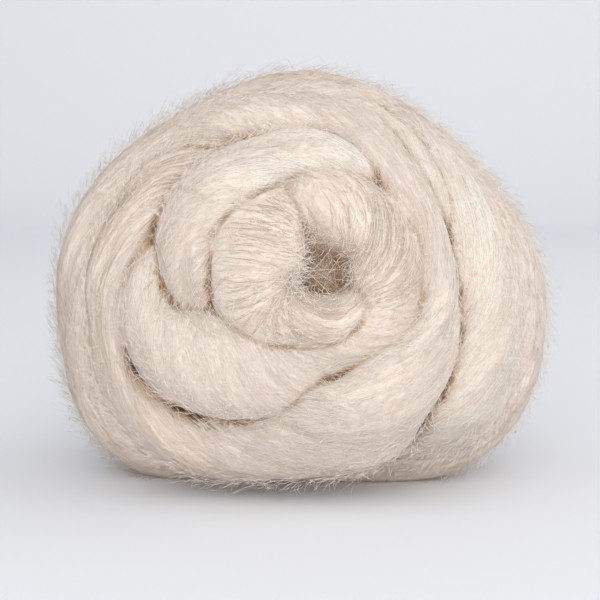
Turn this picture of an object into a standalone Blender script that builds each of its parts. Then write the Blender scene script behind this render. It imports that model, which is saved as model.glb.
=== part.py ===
"""Wool roving: one length of lightly twisted combed wool, wound by hand into a ball.

Metres, +Z up. The origin is at the middle of the foot that the ball rests on. The face whose turns close
on the hollow looks along -Y. All sizes below are real ones in millimetres.
"""

import math
from collections import namedtuple

import bmesh
import bpy
from mathutils import Matrix, Vector

MM = 0.001

# The plain form of the ball: a dome that sags on its foot, so that it is widest below its middle and squarer
# at its lower corners. Its lowest 2.5 mm are pressed flat.
HALF_WIDTH = 75.0
HALF_DEPTH = 53.0
WIDEST_HEIGHT = 52.0
UPPER_HEIGHT = 73.0
LOWER_HEIGHT = 54.5
SQUARENESS_UPPER_LEFT = 1.85
SQUARENESS_UPPER_RIGHT = 1.65
SQUARENESS_LOWER_LEFT = 3.2
SQUARENESS_LOWER_RIGHT = 2.8
CORNER_BLEND = 2.0
FACE_SQUARENESS = 2.3

# The hollow that the innermost turn closes on
HOLLOW_X = 6.0
HOLLOW_Z = 69.0
HOLLOW_HALF_WIDTH = 8.0
HOLLOW_DEPTH = 12.0

# The roving: its thickness as a share of the width that shows, within limits, the share of that half thickness
# which lies below the ball's plain form, and the width hidden under its neighbours as a share of what shows
FLATNESS = 0.85
THINNEST_HALF = 5.0
THICKEST_HALF = 12.0
SUNK_SHARE = 0.85
SPREAD = 1.15

# Its light twist: soft lobes of the section, which go once round in one twist length
TWIST_LOBES = 3
TWIST_LOBE_DEPTH = 0.06
TWIST_LENGTH = 95.0

# Fineness of the swept turns
SECTION_STEP = 2.5
SECTION_POINTS = 20
STEPS_BETWEEN_ROWS = 12

# A turn is a row for each section: the clock angle round the hollow (degrees, clockwise from the top, seen
# from the front), the reach from the hollow's axis to the roving's middle, half the roving's width there, and
# how far it stands out of the ball's plain form. A negative lift tucks it under its neighbours.
Row = namedtuple("Row", "clock reach half_width lift")

INNER_TURN = (
    Row(90, 9, 3, -8),
    Row(120, 12, 5, -3),
    Row(150, 13, 6, 0),
    Row(180, 14, 7, 1),
    Row(210, 15, 8, 2),
    Row(240, 18, 11, 3),
    Row(270, 20, 12, 3),
    Row(300, 20, 12, 3),
    Row(320, 22, 9, 1),
    Row(335, 26, 5, -4),
)

SECOND_TURN = (
    Row(-40, 17, 10, -9),
    Row(0, 20, 12, -1),
    Row(30, 20, 12, 1),
    Row(60, 20, 11, 1),
    Row(90, 20, 11, 1),
    Row(120, 23, 8, 0),
    Row(150, 25, 6, -1),
    Row(180, 27, 6, -1),
    Row(205, 35, 11, 1),
    Row(225, 43, 14, 2),
    Row(240, 50, 14, 2),
    Row(255, 55, 10, 0),
    Row(270, 54, 5, -3),
    Row(280, 53, 3, -8),
)

LEFT_BAND = (
    Row(242, 35, 4, -9),
    Row(257, 38, 7, -4),
    Row(272, 40, 9, 0),
    Row(290, 41, 10, 1),
    Row(310, 40, 10, 1),
    Row(330, 38, 8, 0),
    Row(355, 37, 6, 0),
    Row(375, 35, 4, -2),
    Row(400, 32, 3, -5),
)

THIRD_TURN = (
    Row(-60, 63, 4, -8),
    Row(-45, 59, 7, -2),
    Row(-30, 54, 9, 0),
    Row(-15, 50, 8, 0),
    Row(0, 48, 7, 0),
    Row(15, 45, 7, 0),
    Row(30, 40, 6, 0),
    Row(50, 36, 6, 0),
    Row(70, 35, 5, -1),
    Row(90, 35, 5, 0),
    Row(110, 37, 6, 2),
    Row(130, 39, 9, 3),
    Row(150, 41, 12, 5),
    Row(165, 46, 15, 5),
    Row(180, 50, 14, 4),
    Row(195, 57, 11, 3),
    Row(210, 66, 10, 2),
    Row(225, 71, 9, 1),
    Row(240, 72, 7, 0),
    Row(255, 68, 5, 0),
    Row(270, 65, 6, 1),
    Row(285, 60, 7, 1),
    Row(300, 58, 7, -1),
    Row(315, 53, 5, -6),
    Row(328, 50, 3, -11),
)

TOP_STRAND = (
    Row(-10, 52, 4, -7),
    Row(10, 50, 5, -1),
    Row(30, 47, 5, 0),
    Row(50, 43, 4, 0),
    Row(65, 41, 3, -2),
    Row(78, 40, 2, -7),
)

RIGHT_TURN = (
    Row(-25, 56, 6, -8),
    Row(0, 55, 8, -2),
    Row(20, 54, 8, 0),
    Row(40, 51, 7, 0),
    Row(60, 49, 7, 0),
    Row(75, 49, 9, 0),
    Row(90, 51, 11, 0),
    Row(105, 55, 12, 0),
    Row(120, 60, 13, 0),
    Row(135, 65, 13, 0),
    Row(147, 70, 10, -3),
    Row(157, 74, 7, -8),
)

# The turns round the rim and the back wind on towards the middle of the back. Their latitude is 0 degrees at
# the middle of the face, 90 at the rim and 180 at the middle of the back, and it wanders a little, as wound
# by hand. Both ends narrow and tuck in.
BACK_START_CLOCK = -15.0
BACK_START_LATITUDE = 76.0
BACK_END_LATITUDE = 166.0
BACK_TURNS = 3.75
BACK_GATHER = 1.15
BACK_HALF_WIDTH = 15.0
BACK_WANDER = 2.0
BACK_WANDERS_A_TURN = 2.3
BACK_STEPS = 110
BACK_END_SHARE = 0.08
BACK_END_NARROWING = 0.4
BACK_END_TUCK = 9.0

# The wool below the turns that show, as a share of the plain form
CORE_SCALE = 0.88
CORE_SEGMENTS = 96

# The one skin round all the turns
SKIN_STEP = 1.7
SOFTEN_STEPS = 2
SOFTEN_FACTOR = 0.35
FACES_KEPT = 9000

WOOL_COLOUR = (0.68, 0.575, 0.485, 1.0)
WOOL_ROUGHNESS = 0.95

Section = namedtuple("Section", "centre half_width half_thickness")


def clear_scene():
    for old in list(bpy.data.objects):
        bpy.data.objects.remove(old, do_unlink=True)


def rim_reach(clock):
    """Distance from the ball's axis to its outline, at a clock angle round that axis in radians."""
    across = math.sin(clock)
    up = math.cos(clock)
    right = 0.5 + 0.5 * math.tanh(CORNER_BLEND * across)
    lower = 0.5 - 0.5 * math.tanh(CORNER_BLEND * up)
    upper_power = SQUARENESS_UPPER_LEFT + (SQUARENESS_UPPER_RIGHT - SQUARENESS_UPPER_LEFT) * right
    lower_power = SQUARENESS_LOWER_LEFT + (SQUARENESS_LOWER_RIGHT - SQUARENESS_LOWER_LEFT) * right
    power = upper_power + (lower_power - upper_power) * lower
    height = UPPER_HEIGHT if up > 0.0 else LOWER_HEIGHT
    spread = (abs(across) / HALF_WIDTH) ** power + (abs(up) / height) ** power
    return spread ** (-1.0 / power)


def face_depth(x, z):
    """How far the ball's plain form bulges in front of its rim, above a point of the face."""
    reach = math.hypot(x, z - WIDEST_HEIGHT)
    share = min(reach / rim_reach(math.atan2(x, z - WIDEST_HEIGHT)), 1.0)
    return HALF_DEPTH * (1.0 - share**FACE_SQUARENESS) ** (1.0 / FACE_SQUARENESS)


def outward(point):
    """Direction out of the ball's plain form."""
    height = UPPER_HEIGHT if point.z > WIDEST_HEIGHT else LOWER_HEIGHT
    slope = Vector((
        point.x / HALF_WIDTH**2,
        point.y / HALF_DEPTH**2,
        (point.z - WIDEST_HEIGHT) / height**2,
    ))
    return slope.normalized()


def blend(before, start, end, after, share):
    """Smooth value between start and end that also heeds the values on either side."""
    slope = end - before
    bend = 2.0 * before - 5.0 * start + 4.0 * end - after
    turn = 3.0 * (start - end) + after - before
    return start + 0.5 * share * (slope + share * (bend + share * turn))


def half_thickness(half_width):
    """Half the roving's thickness where half_width of it shows."""
    return min(max(FLATNESS * half_width, THINNEST_HALF), THICKEST_HALF)


def face_section(row):
    """Section of the roving for a row of a turn on the face."""
    clock = math.radians(row.clock)
    x = HOLLOW_X + row.reach * math.sin(clock)
    z = HOLLOW_Z + row.reach * math.cos(clock)
    thickness = half_thickness(row.half_width)
    surface = Vector((x, -face_depth(x, z), z))
    centre = surface - outward(surface) * (SUNK_SHARE * thickness - row.lift)
    return Section(centre, row.half_width * SPREAD, thickness)


def face_turn(rows):
    """Sections of one turn on the face, at even shares between its rows."""
    sections = []
    last = len(rows) - 1
    for index in range(last):
        around = (rows[max(index - 1, 0)], rows[index], rows[index + 1], rows[min(index + 2, last)])
        for step in range(STEPS_BETWEEN_ROWS):
            columns = [blend(*column, step / STEPS_BETWEEN_ROWS) for column in zip(*around)]
            sections.append(face_section(Row(*columns)))
    sections.append(face_section(rows[last]))
    return sections


def back_turns():
    """Sections of the even turns round the rim and the back."""
    sections = []
    for step in range(BACK_STEPS + 1):
        share = step / BACK_STEPS
        clock = math.radians(BACK_START_CLOCK + 360.0 * BACK_TURNS * share)
        latitude = BACK_START_LATITUDE + (BACK_END_LATITUDE - BACK_START_LATITUDE) * share**BACK_GATHER
        latitude = math.radians(latitude + BACK_WANDER * math.sin(BACK_WANDERS_A_TURN * clock))
        ending = max(0.0, 1.0 - min(share, 1.0 - share) / BACK_END_SHARE) ** 2
        half_width = BACK_HALF_WIDTH * (1.0 - BACK_END_NARROWING * ending)
        thickness = half_thickness(half_width)
        sunk = SUNK_SHARE * thickness + BACK_END_TUCK * ending
        reach = (rim_reach(clock) - sunk) * math.sin(latitude)
        centre = Vector((
            reach * math.sin(clock),
            -(HALF_DEPTH - sunk) * math.cos(latitude),
            WIDEST_HEIGHT + reach * math.cos(clock),
        ))
        sections.append(Section(centre, half_width, thickness))
    return sections


def even_steps(sections):
    """The sections nearest to an even step along the roving, with both ends."""
    kept = [sections[0]]
    for section in sections[1:-1]:
        if (section.centre - kept[-1].centre).length >= SECTION_STEP:
            kept.append(section)
    kept.append(sections[-1])
    return kept


def add_section_ring(bm, section, along, turned, end):
    """Ring of the roving's soft-cornered section, with the lobes of its twist."""
    out = outward(section.centre)
    across = along.cross(out).normalized()
    out = across.cross(along).normalized()
    place = Matrix.Translation(section.centre * MM) @ Matrix((across, out, along)).transposed().to_4x4()
    made = bmesh.ops.create_circle(bm, cap_ends=end, segments=SECTION_POINTS, radius=1.0)
    for corner in made["verts"]:
        angle = math.atan2(corner.co.y, corner.co.x)
        lobe = 1.0 + TWIST_LOBE_DEPTH * math.cos(TWIST_LOBES * angle + turned)
        flat = Vector((
            corner.co.x * section.half_width * lobe * MM,
            corner.co.y * section.half_thickness * lobe * MM,
            0.0,
        ))
        corner.co = place @ flat
    return made["verts"]


def add_turn(bm, sections):
    """Sweep of one turn, its rings bridged one after another."""
    sections = even_steps(sections)
    last = len(sections) - 1
    run = 0.0
    previous = None
    for index, section in enumerate(sections):
        ahead = sections[min(index + 1, last)].centre
        behind = sections[max(index - 1, 0)].centre
        along = (ahead - behind).normalized()
        ring = add_section_ring(bm, section, along, math.tau * run / TWIST_LENGTH, index in (0, last))
        edges = list({edge for corner in ring for edge in corner.link_edges})
        if previous is not None:
            bmesh.ops.bridge_loops(bm, edges=previous + edges)
        previous = edges
        run += (ahead - section.centre).length


def add_core(bm):
    """The wool under the turns, which leaves no space between them."""
    made = bmesh.ops.create_uvsphere(bm, u_segments=CORE_SEGMENTS, v_segments=CORE_SEGMENTS // 2, radius=1.0)
    for corner in made["verts"]:
        clock = math.atan2(corner.co.x, corner.co.z)
        reach = math.hypot(corner.co.x, corner.co.z) * rim_reach(clock) * CORE_SCALE
        x = reach * math.sin(clock)
        z = WIDEST_HEIGHT + reach * math.cos(clock)
        y = corner.co.y * HALF_DEPTH * CORE_SCALE
        if y < 0.0:
            aside = math.hypot(x - HOLLOW_X, z - HOLLOW_Z)
            y += HOLLOW_DEPTH * math.exp(-((aside / HOLLOW_HALF_WIDTH) ** 2))
        corner.co = Vector((x, y, z)) * MM


def wool_material():
    material = bpy.data.materials.new("combed_wool")
    material.use_nodes = True
    shader = material.node_tree.nodes["Principled BSDF"]
    shader.inputs["Base Color"].default_value = WOOL_COLOUR
    shader.inputs["Roughness"].default_value = WOOL_ROUGHNESS
    shader.inputs["Metallic"].default_value = 0.0
    return material


def new_collection(name):
    collection = bpy.data.collections.new(name)
    bpy.context.scene.collection.children.link(collection)
    return collection


def wound_turns(collection):
    """All turns and the core, still as bodies that cross each other."""
    bm = bmesh.new()
    add_core(bm)
    for rows in (INNER_TURN, SECOND_TURN, LEFT_BAND, THIRD_TURN, TOP_STRAND, RIGHT_TURN):
        add_turn(bm, face_turn(rows))
    add_turn(bm, back_turns())
    bmesh.ops.recalc_face_normals(bm, faces=bm.faces[:])
    mesh = bpy.data.meshes.new("wound_turns")
    bm.to_mesh(mesh)
    bm.free()
    turns = bpy.data.objects.new("wound_turns", mesh)
    turns.hide_render = True
    turns.display_type = "WIRE"
    collection.objects.link(turns)
    return turns


def skin_round(turns):
    """One closed skin round all the turns, softened as wool lies."""
    remesh = turns.modifiers.new("skin", "REMESH")
    remesh.mode = "VOXEL"
    remesh.voxel_size = SKIN_STEP * MM
    soften = turns.modifiers.new("soften", "SMOOTH")
    soften.iterations = SOFTEN_STEPS
    soften.factor = SOFTEN_FACTOR
    depsgraph = bpy.context.evaluated_depsgraph_get()
    skin = bpy.data.meshes.new_from_object(turns.evaluated_get(depsgraph))
    turns.modifiers.clear()
    drop_pockets(skin)
    return skin


def drop_pockets(skin):
    """Keep the outer skin alone, without the closed pockets that crossing turns leave between them."""
    bm = bmesh.new()
    bm.from_mesh(skin)
    waiting = set(bm.verts)
    largest = set()
    while waiting:
        front = [waiting.pop()]
        shell = set(front)
        while front:
            corner = front.pop()
            beside = {edge.other_vert(corner) for edge in corner.link_edges} - shell
            shell |= beside
            front.extend(beside)
        waiting -= shell
        largest = max(largest, shell, key=len)
    bmesh.ops.delete(bm, geom=[corner for corner in bm.verts if corner not in largest], context="VERTS")
    bm.to_mesh(skin)
    bm.free()


def seat_on_foot(body):
    """Cut the foot flat at Z 0 and bring the middle of the ball's box over the origin."""
    bm = bmesh.new()
    bm.from_mesh(body)
    cut = bmesh.ops.bisect_plane(
        bm,
        geom=bm.verts[:] + bm.edges[:] + bm.faces[:],
        plane_co=(0.0, 0.0, 0.0),
        plane_no=(0.0, 0.0, -1.0),
        clear_outer=True,
    )
    rim = [item for item in cut["geom_cut"] if isinstance(item, bmesh.types.BMEdge)]
    bmesh.ops.edgeloop_fill(bm, edges=rim)
    middle = [
        0.5 * (min(corner.co[axis] for corner in bm.verts) + max(corner.co[axis] for corner in bm.verts))
        for axis in (0, 1)
    ]
    bmesh.ops.translate(bm, verts=bm.verts[:], vec=(-middle[0], -middle[1], 0.0))
    bmesh.ops.recalc_face_normals(bm, faces=bm.faces[:])
    bm.to_mesh(body)
    bm.free()


def with_fewer_faces(roving):
    """Mesh of the roving, thinned to the faces that its form needs."""
    triangles = sum(len(face.vertices) - 2 for face in roving.data.polygons)
    fewer = roving.modifiers.new("fewer_faces", "DECIMATE")
    fewer.ratio = min(1.0, FACES_KEPT / triangles)
    depsgraph = bpy.context.evaluated_depsgraph_get()
    body = bpy.data.meshes.new_from_object(roving.evaluated_get(depsgraph))
    roving.modifiers.clear()
    return body


def build_roving():
    turns = wound_turns(new_collection("helpers"))
    roving = bpy.data.objects.new("roving", skin_round(turns))
    new_collection("wool_roving").objects.link(roving)
    roving.data = with_fewer_faces(roving)
    seat_on_foot(roving.data)
    roving.data.materials.clear()
    roving.data.materials.append(wool_material())
    roving.data.shade_smooth()


clear_scene()
build_roving()
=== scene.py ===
"""Looks of a ball of wool roving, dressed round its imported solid.

One length of combed, lightly twisted wool is wound by hand into a ball. The script sweeps the same turns as
the solid, lays single wool fibres along them, and sets the ball on a pale studio floor. Metres, +Z up.
"""

import math
from collections import namedtuple

import bmesh
import bpy
import numpy as np
from mathutils import Matrix, Vector, noise
from mathutils.bvhtree import BVHTree


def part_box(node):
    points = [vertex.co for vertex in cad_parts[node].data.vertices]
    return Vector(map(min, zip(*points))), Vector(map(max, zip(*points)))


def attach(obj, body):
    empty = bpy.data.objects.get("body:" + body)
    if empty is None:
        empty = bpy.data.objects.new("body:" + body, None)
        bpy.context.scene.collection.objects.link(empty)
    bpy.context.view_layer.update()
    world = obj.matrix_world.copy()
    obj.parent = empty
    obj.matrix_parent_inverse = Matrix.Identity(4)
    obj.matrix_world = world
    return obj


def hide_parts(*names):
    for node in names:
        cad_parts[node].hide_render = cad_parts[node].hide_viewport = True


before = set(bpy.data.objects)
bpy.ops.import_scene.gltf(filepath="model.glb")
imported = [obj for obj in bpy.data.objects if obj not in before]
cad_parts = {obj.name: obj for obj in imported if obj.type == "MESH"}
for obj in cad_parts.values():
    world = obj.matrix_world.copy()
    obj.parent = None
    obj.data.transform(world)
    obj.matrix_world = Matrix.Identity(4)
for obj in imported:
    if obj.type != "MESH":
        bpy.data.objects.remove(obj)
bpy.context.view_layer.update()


# Camera: a long lens a little above the ball, looking slightly down at the face whose turns close on a hollow
CAMERA_PLACE = (0.0, -0.520, 0.1238)
CAMERA_LENS = 100.0
CAMERA_LOOKS_DOWN = 7.5


def add_object(name, data):
    """A new object, placed in the scene."""
    made = bpy.data.objects.new(name, data)
    bpy.context.scene.collection.objects.link(made)
    return made


camera = add_object("camera", bpy.data.cameras.new("camera"))
camera.data.lens = CAMERA_LENS
camera.location = CAMERA_PLACE
camera.rotation_euler = (math.radians(90.0 - CAMERA_LOOKS_DOWN), 0.0, 0.0)
bpy.context.scene.camera = camera


# The wound roving: one length of combed wool top, 30 mm across where nothing squeezes it, drawn out by hand
# and wound round its own start. Its fibres lie side by side and slant round it with the light twist. Each
# turn is swept along the same rows as the solid's, with the shallow grooves between its locks added. Sizes
# are in millimetres, and in metres where they are multiplied by MM.
MM = 0.001

# The ball's plain form: a rounded outline whose corners differ, and the bulge of its face
HALF_WIDTH = 75.0
HALF_DEPTH = 53.0
WIDEST_HEIGHT = 52.0
UPPER_HEIGHT = 73.0
LOWER_HEIGHT = 54.5
SQUARENESS_UPPER_LEFT = 1.85
SQUARENESS_UPPER_RIGHT = 1.65
SQUARENESS_LOWER_LEFT = 3.2
SQUARENESS_LOWER_RIGHT = 2.8
CORNER_BLEND = 2.0
FACE_SQUARENESS = 2.3

# The hollow that the turns of the face close on
HOLLOW_X = 6.0
HOLLOW_Z = 69.0
HOLLOW_HALF_WIDTH = 8.0
HOLLOW_DEPTH = 12.0

# The roving's section, how deep it is sunk, how far it spreads under its neighbours, and the lobes of its
# twist
FLATNESS = 0.85
THINNEST_HALF = 5.0
THICKEST_HALF = 12.0
SUNK_SHARE = 0.85
SPREAD = 1.15
TWIST_LOBES = 3
TWIST_LOBE_DEPTH = 0.06
TWIST_LENGTH = 95.0

# A row gives the clock angle round the hollow (degrees), the reach from the hollow's axis, half the width
# that shows, how far the roving stands out of the ball's plain form, and the grain: the slope of its fibres
# to the level, seen from the front, in degrees anticlockwise. The grain counts on past half a turn so that it
# never jumps.
Row = namedtuple("Row", "clock reach half_width lift grain")

INNER_TURN = (
    Row(90, 9, 3, -8, -100),
    Row(120, 12, 5, -3, -115),
    Row(150, 13, 6, 0, -160),
    Row(180, 14, 7, 1, -190),
    Row(210, 15, 8, 2, -240),
    Row(240, 18, 11, 3, -318),
    Row(270, 20, 12, 3, -363),
    Row(300, 20, 12, 3, -368),
    Row(320, 22, 9, 1, -385),
    Row(335, 26, 5, -4, -402),
)

SECOND_TURN = (
    Row(-40, 17, 10, -9, -65),
    Row(0, 20, 12, -1, -62),
    Row(30, 20, 12, 1, -75),
    Row(60, 20, 11, 1, -100),
    Row(90, 20, 11, 1, -130),
    Row(120, 23, 8, 0, -178),
    Row(150, 25, 6, -1, -190),
    Row(180, 27, 6, -1, -202),
    Row(205, 35, 11, 1, -230),
    Row(225, 43, 14, 2, -240),
    Row(240, 50, 14, 2, -250),
    Row(255, 55, 10, 0, -265),
    Row(270, 54, 5, -3, -272),
    Row(280, 53, 3, -8, -278),
)

LEFT_BAND = (
    Row(242, 35, 4, -9, -302),
    Row(257, 38, 7, -4, -310),
    Row(272, 40, 9, 0, -315),
    Row(290, 41, 10, 1, -327),
    Row(310, 40, 10, 1, -342),
    Row(330, 38, 8, 0, -355),
    Row(355, 37, 6, 0, -378),
    Row(375, 35, 4, -2, -400),
    Row(400, 32, 3, -5, -418),
)

THIRD_TURN = (
    Row(-60, 63, 4, -8, 5),
    Row(-45, 59, 7, -2, -5),
    Row(-30, 54, 9, 0, -27),
    Row(-15, 50, 8, 0, -30),
    Row(0, 48, 7, 0, -28),
    Row(15, 45, 7, 0, -38),
    Row(30, 40, 6, 0, -55),
    Row(50, 36, 6, 0, -62),
    Row(70, 35, 5, -1, -78),
    Row(90, 35, 5, 0, -95),
    Row(110, 37, 6, 2, -135),
    Row(130, 39, 9, 3, -145),
    Row(150, 41, 12, 5, -168),
    Row(165, 46, 15, 5, -180),
    Row(180, 50, 14, 4, -188),
    Row(195, 57, 11, 3, -202),
    Row(210, 66, 10, 2, -215),
    Row(225, 71, 9, 1, -230),
    Row(240, 72, 7, 0, -240),
    Row(255, 68, 5, 0, -262),
    Row(270, 65, 6, 1, -297),
    Row(285, 60, 7, 1, -317),
    Row(300, 58, 7, -1, -330),
    Row(315, 53, 5, -6, -350),
    Row(328, 50, 3, -11, -362),
)

TOP_STRAND = (
    Row(-10, 52, 4, -7, -30),
    Row(10, 50, 5, -1, -42),
    Row(30, 47, 5, 0, -58),
    Row(50, 43, 4, 0, -67),
    Row(65, 41, 3, -2, -78),
    Row(78, 40, 2, -7, -84),
)

RIGHT_TURN = (
    Row(-25, 56, 6, -8, -25),
    Row(0, 55, 8, -2, -35),
    Row(20, 54, 8, 0, -50),
    Row(40, 51, 7, 0, -63),
    Row(60, 49, 7, 0, -75),
    Row(75, 49, 9, 0, -85),
    Row(90, 51, 11, 0, -105),
    Row(105, 55, 12, 0, -128),
    Row(120, 60, 13, 0, -132),
    Row(135, 65, 13, 0, -150),
    Row(147, 70, 10, -3, -165),
    Row(157, 74, 7, -8, -170),
)

FACE_TURNS = (INNER_TURN, SECOND_TURN, LEFT_BAND, THIRD_TURN, TOP_STRAND, RIGHT_TURN)
STEPS_BETWEEN_ROWS = 12

# The turns round the rim and the back, as in the solid. Their fibres slant evenly with the light twist.
BACK_START_CLOCK = -15.0
BACK_START_LATITUDE = 76.0
BACK_END_LATITUDE = 166.0
BACK_TURNS = 3.75
BACK_GATHER = 1.15
BACK_HALF_WIDTH = 15.0
BACK_WANDER = 2.0
BACK_WANDERS_A_TURN = 2.3
BACK_STEPS = 330
BACK_END_SHARE = 0.08
BACK_END_NARROWING = 0.4
BACK_END_TUCK = 9.0
BACK_SLANT = 16.0

# Under the last turns of the back a length of roving shows, straight across, which stands just off the core
MIDDLE_FROM = (-40.0, 36.0)
MIDDLE_TO = (26.0, 64.0)
MIDDLE_HALF_WIDTH = 24.0
MIDDLE_HALF_THICKNESS = 12.0
MIDDLE_STANDS = 1.5
MIDDLE_STEPS = 24

# What changes from fibre to fibre changes less along them than across: its size both ways, and the part of
# the noise that it reads. Every pass has a part of its own. Here, the locks and the tufts in them, and how
# far they stand out. The relief ends where the sheet closes underneath.
Combed = namedtuple("Combed", "width length part")

NOISE_APART = 7.3
RELIEF_LOCKS = Combed(6.0, 55.0, 0)
RELIEF_TUFTS = Combed(2.3, 28.0, 0)
LOCK_RELIEF = 0.9
TUFT_RELIEF = 0.28
RELIEF_ENDS = 4.0

# Fineness of the swept sheets and of the core inside them
RING_STEP = 1.2
BACK_RING_STEP = 1.6
RING_POINTS = 60
CORE_SCALE = 0.88
CORE_SEGMENTS = 96
WELD = 1e-6
RANKS = 1e6

# Where turns touch, their fibres have felted together over a shallow valley
FELTING = 1.0
SHALLOWEST_VALLEY = 0.36
VALLEY_ROUNDS = 4
SHALLOWEST_PIT = 0.5
PIT_ROUNDS = 44

# Stretches of crease that stay clefts: where each lies on the face, how far it reaches, and how open it is
Cleft = namedtuple("Cleft", "x z reach openness")

CLEFTS = (
    Cleft(7, 67, 5, 1.0),
    Cleft(-14, 95, 5, 0.9),
    Cleft(-23, 86, 7, 0.5),
    Cleft(-28, 68, 7, 1.0),
    Cleft(-26, 61, 5, 0.8),
    Cleft(-3, 86, 6, 0.4),
    Cleft(1, 79, 6, 0.6),
    Cleft(-19, 53, 7, 0.4),
    Cleft(-6, 48, 8, 0.4),
    Cleft(19, 64, 7, 0.25),
    Cleft(13, 51, 8, 0.5),
    Cleft(24, 97, 6, 0.6),
    Cleft(36, 80, 9, 0.3),
    Cleft(37, 60, 9, 0.3),
    Cleft(-46, 83, 8, 0.8),
    Cleft(-43, 64, 7, 1.0),
    Cleft(-36, 61, 7, 0.8),
    Cleft(-61, 43, 7, 0.6),
    Cleft(-52, 39, 8, 0.9),
    Cleft(-43, 32, 7, 0.5),
    Cleft(-34, 27, 8, 1.0),
    Cleft(-18, 23, 8, 0.6),
    Cleft(1, 35, 8, 0.5),
    Cleft(11, 38, 8, 0.8),
    Cleft(26, 45, 8, 0.3),
    Cleft(45, 90, 7, 0.5),
    Cleft(44, 80, 7, 1.0),
    Cleft(46, 66, 8, 1.0),
    Cleft(47, 50, 8, 0.4),
    Cleft(41, 35, 8, 1.0),
    Cleft(34, 22, 8, 1.0),
    Cleft(24, 10, 8, 0.6),
    Cleft(-33, 110, 8, 0.8),
    Cleft(-18, 111, 8, 0.7),
    Cleft(14, 109, 9, 0.4),
    Cleft(25, 119, 7, 0.4),
    Cleft(31, 107, 8, 1.0),
    Cleft(39, 93, 7, 0.7),
)

# Behind the face no table says how open the creases are: there it varies in patches. All are ragged.
BACK_FROM = -20.0
BACK_OPENNESS = 0.3
BACK_VARIES = 0.9
BACK_PATCH = 25.0
RAGGED_PATCH = 4.0
RAGGEDNESS = 0.8

Section = namedtuple("Section", "centre half_width half_thickness grain")
Sweep = namedtuple("Sweep", "number run centre across out half_width half_thickness slant drift advance")


def rim_reach(clock):
    """Distance from the ball's axis to its outline, at a clock angle round that axis in radians."""
    across = math.sin(clock)
    up = math.cos(clock)
    right = 0.5 + 0.5 * math.tanh(CORNER_BLEND * across)
    lower = 0.5 - 0.5 * math.tanh(CORNER_BLEND * up)
    upper_power = SQUARENESS_UPPER_LEFT + (SQUARENESS_UPPER_RIGHT - SQUARENESS_UPPER_LEFT) * right
    lower_power = SQUARENESS_LOWER_LEFT + (SQUARENESS_LOWER_RIGHT - SQUARENESS_LOWER_LEFT) * right
    power = upper_power + (lower_power - upper_power) * lower
    height = UPPER_HEIGHT if up > 0.0 else LOWER_HEIGHT
    spread = (abs(across) / HALF_WIDTH) ** power + (abs(up) / height) ** power
    return spread ** (-1.0 / power)


def face_depth(x, z):
    """How far the ball's plain form bulges in front of its rim, above a point of the face."""
    reach = math.hypot(x, z - WIDEST_HEIGHT)
    share = min(reach / rim_reach(math.atan2(x, z - WIDEST_HEIGHT)), 1.0)
    return HALF_DEPTH * (1.0 - share**FACE_SQUARENESS) ** (1.0 / FACE_SQUARENESS)


def outward(point):
    """Direction out of the ball's plain form."""
    height = UPPER_HEIGHT if point[2] > WIDEST_HEIGHT else LOWER_HEIGHT
    slope = Vector((
        point[0] / HALF_WIDTH**2,
        point[1] / HALF_DEPTH**2,
        (point[2] - WIDEST_HEIGHT) / height**2,
    ))
    return slope.normalized()


def blend(before, start, end, after, share):
    """Smooth value between start and end that also heeds the values on either side."""
    slope = end - before
    bend = 2.0 * before - 5.0 * start + 4.0 * end - after
    turn = 3.0 * (start - end) + after - before
    return start + 0.5 * share * (slope + share * (bend + share * turn))


def half_thickness(half_width):
    """Half the roving's thickness where half_width of it shows."""
    return min(max(FLATNESS * half_width, THINNEST_HALF), THICKEST_HALF)


def face_section(row):
    """Section of the roving for a row of a turn on the face."""
    clock = math.radians(row.clock)
    x = HOLLOW_X + row.reach * math.sin(clock)
    z = HOLLOW_Z + row.reach * math.cos(clock)
    thickness = half_thickness(row.half_width)
    surface = Vector((x, -face_depth(x, z), z))
    centre = surface - outward(surface) * (SUNK_SHARE * thickness - row.lift)
    return Section(centre, row.half_width * SPREAD, thickness, row.grain)


def face_turn(rows):
    """Sections of one turn on the face, at even shares between its rows."""
    sections = []
    last = len(rows) - 1
    for index in range(last):
        around = (rows[max(index - 1, 0)], rows[index], rows[index + 1], rows[min(index + 2, last)])
        for step in range(STEPS_BETWEEN_ROWS):
            columns = [blend(*column, step / STEPS_BETWEEN_ROWS) for column in zip(*around)]
            sections.append(face_section(Row(*columns)))
    sections.append(face_section(rows[last]))
    return sections


def back_turns():
    """Sections of the even turns round the rim and the back."""
    sections = []
    for step in range(BACK_STEPS + 1):
        share = step / BACK_STEPS
        clock = math.radians(BACK_START_CLOCK + 360.0 * BACK_TURNS * share)
        latitude = BACK_START_LATITUDE + (BACK_END_LATITUDE - BACK_START_LATITUDE) * share**BACK_GATHER
        latitude = math.radians(latitude + BACK_WANDER * math.sin(BACK_WANDERS_A_TURN * clock))
        ending = max(0.0, 1.0 - min(share, 1.0 - share) / BACK_END_SHARE) ** 2
        half_width = BACK_HALF_WIDTH * (1.0 - BACK_END_NARROWING * ending)
        thickness = half_thickness(half_width)
        sunk = SUNK_SHARE * thickness + BACK_END_TUCK * ending
        reach = (rim_reach(clock) - sunk) * math.sin(latitude)
        centre = Vector((
            reach * math.sin(clock),
            -(HALF_DEPTH - sunk) * math.cos(latitude),
            WIDEST_HEIGHT + reach * math.cos(clock),
        ))
        sections.append(Section(centre, half_width, thickness, 0.0))
    return sections


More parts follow.
